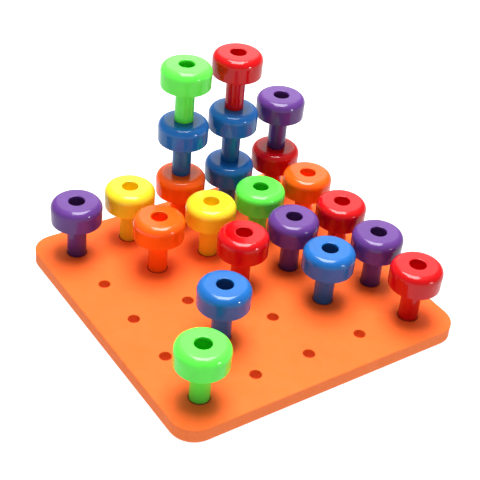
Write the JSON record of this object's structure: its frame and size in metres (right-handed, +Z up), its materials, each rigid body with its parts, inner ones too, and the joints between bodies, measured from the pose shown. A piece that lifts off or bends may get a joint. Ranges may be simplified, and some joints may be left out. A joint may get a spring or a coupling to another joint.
{
  "type": "peg board with stacking pegs",
  "caption": "Square foam board with a grid of holes and glossy mushroom-shaped plastic pegs that plug into the holes and stack on each other.",
  "frame": {"origin": "centre of the board's underside", "axes": "+Z up out of the board, +X along the lettered columns from a to e, +Y along the numbered rows from 1 to 5"},
  "size_m": [0.21, 0.21, 0.1346],
  "materials": {
    "orange_foam": "matte",
    "green_plastic": "gloss",
    "blue_plastic": "gloss",
    "red_plastic": "gloss",
    "purple_plastic": "gloss",
    "yellow_plastic": "gloss",
    "orange_plastic": "gloss"
  },
  "bodies": {
    "foam_peg_board": {"foam_peg_board": "orange_foam"},
    "green_peg_a1": {"green_peg_a1": "green_plastic"},
    "purple_peg_a5": {"purple_peg_a5": "purple_plastic"},
    "blue_peg_b2": {"blue_peg_b2": "blue_plastic"},
    "orange_peg_b4": {"orange_peg_b4": "orange_plastic"},
    "yellow_peg_b5": {"yellow_peg_b5": "yellow_plastic"},
    "red_peg_c3": {"red_peg_c3": "red_plastic"},
    "yellow_peg_c4": {"yellow_peg_c4": "yellow_plastic"},
    "orange_peg_c5_base": {"orange_peg_c5_base": "orange_plastic"},
    "blue_peg_c5_middle": {"blue_peg_c5_middle": "blue_plastic"},
    "green_peg_c5_top": {"green_peg_c5_top": "green_plastic"},
    "blue_peg_d2": {"blue_peg_d2": "blue_plastic"},
    "purple_peg_d3": {"purple_peg_d3": "purple_plastic"},
    "green_peg_d4": {"green_peg_d4": "green_plastic"},
    "blue_peg_d5_base": {"blue_peg_d5_base": "blue_plastic"},
    "blue_peg_d5_middle": {"blue_peg_d5_middle": "blue_plastic"},
    "red_peg_d5_top": {"red_peg_d5_top": "red_plastic"},
    "red_peg_e1": {"red_peg_e1": "red_plastic"},
    "purple_peg_e2": {"purple_peg_e2": "purple_plastic"},
    "red_peg_e3": {"red_peg_e3": "red_plastic"},
    "orange_peg_e4": {"orange_peg_e4": "orange_plastic"},
    "red_peg_e5_base": {"red_peg_e5_base": "red_plastic"},
    "purple_peg_e5_top": {"purple_peg_e5_top": "purple_plastic"}
  },
  "joints": [
    {"name": "green_peg_a1_lift", "type": "slide", "parent": "foam_peg_board", "child": "green_peg_a1", "axis": [0, 0, 1], "range_m": [0, 0.055]},
    {"name": "purple_peg_a5_lift", "type": "slide", "parent": "foam_peg_board", "child": "purple_peg_a5", "axis": [0, 0, 1], "range_m": [0, 0.055]},
    {"name": "blue_peg_b2_lift", "type": "slide", "parent": "foam_peg_board", "child": "blue_peg_b2", "axis": [0, 0, 1], "range_m": [0, 0.055]},
    {"name": "orange_peg_b4_lift", "type": "slide", "parent": "foam_peg_board", "child": "orange_peg_b4", "axis": [0, 0, 1], "range_m": [0, 0.055]},
    {"name": "yellow_peg_b5_lift", "type": "slide", "parent": "foam_peg_board", "child": "yellow_peg_b5", "axis": [0, 0, 1], "range_m": [0, 0.055]},
    {"name": "red_peg_c3_lift", "type": "slide", "parent": "foam_peg_board", "child": "red_peg_c3", "axis": [0, 0, 1], "range_m": [0, 0.055]},
    {"name": "yellow_peg_c4_lift", "type": "slide", "parent": "foam_peg_board", "child": "yellow_peg_c4", "axis": [0, 0, 1], "range_m": [0, 0.055]},
    {"name": "orange_peg_c5_base_lift", "type": "slide", "parent": "foam_peg_board", "child": "orange_peg_c5_base", "axis": [0, 0, 1], "range_m": [0, 0.055]},
    {"name": "blue_peg_c5_middle_lift", "type": "slide", "parent": "orange_peg_c5_base", "child": "blue_peg_c5_middle", "axis": [0, 0, 1], "range_m": [0, 0.055]},
    {"name": "green_peg_c5_top_lift", "type": "slide", "parent": "blue_peg_c5_middle", "child": "green_peg_c5_top", "axis": [0, 0, 1], "range_m": [0, 0.055]},
    {"name": "blue_peg_d2_lift", "type": "slide", "parent": "foam_peg_board", "child": "blue_peg_d2", "axis": [0, 0, 1], "range_m": [0, 0.055]},
    {"name": "purple_peg_d3_lift", "type": "slide", "parent": "foam_peg_board", "child": "purple_peg_d3", "axis": [0, 0, 1], "range_m": [0, 0.055]},
    {"name": "green_peg_d4_lift", "type": "slide", "parent": "foam_peg_board", "child": "green_peg_d4", "axis": [0, 0, 1], "range_m": [0, 0.055]},
    {"name": "blue_peg_d5_base_lift", "type": "slide", "parent": "foam_peg_board", "child": "blue_peg_d5_base", "axis": [0, 0, 1], "range_m": [0, 0.055]},
    {"name": "blue_peg_d5_middle_lift", "type": "slide", "parent": "blue_peg_d5_base", "child": "blue_peg_d5_middle", "axis": [0, 0, 1], "range_m": [0, 0.055]},
    {"name": "red_peg_d5_top_lift", "type": "slide", "parent": "blue_peg_d5_middle", "child": "red_peg_d5_top", "axis": [0, 0, 1], "range_m": [0, 0.055]},
    {"name": "red_peg_e1_lift", "type": "slide", "parent": "foam_peg_board", "child": "red_peg_e1", "axis": [0, 0, 1], "range_m": [0, 0.055]},
    {"name": "purple_peg_e2_lift", "type": "slide", "parent": "foam_peg_board", "child": "purple_peg_e2", "axis": [0, 0, 1], "range_m": [0, 0.055]},
    {"name": "red_peg_e3_lift", "type": "slide", "parent": "foam_peg_board", "child": "red_peg_e3", "axis": [0, 0, 1], "range_m": [0, 0.055]},
    {"name": "orange_peg_e4_lift", "type": "slide", "parent": "foam_peg_board", "child": "orange_peg_e4", "axis": [0, 0, 1], "range_m": [0, 0.055]},
    {"name": "red_peg_e5_base_lift", "type": "slide", "parent": "foam_peg_board", "child": "red_peg_e5_base", "axis": [0, 0, 1], "range_m": [0, 0.055]},
    {"name": "purple_peg_e5_top_lift", "type": "slide", "parent": "red_peg_e5_base", "child": "purple_peg_e5_top", "axis": [0, 0, 1], "range_m": [0, 0.055]}
  ]
}
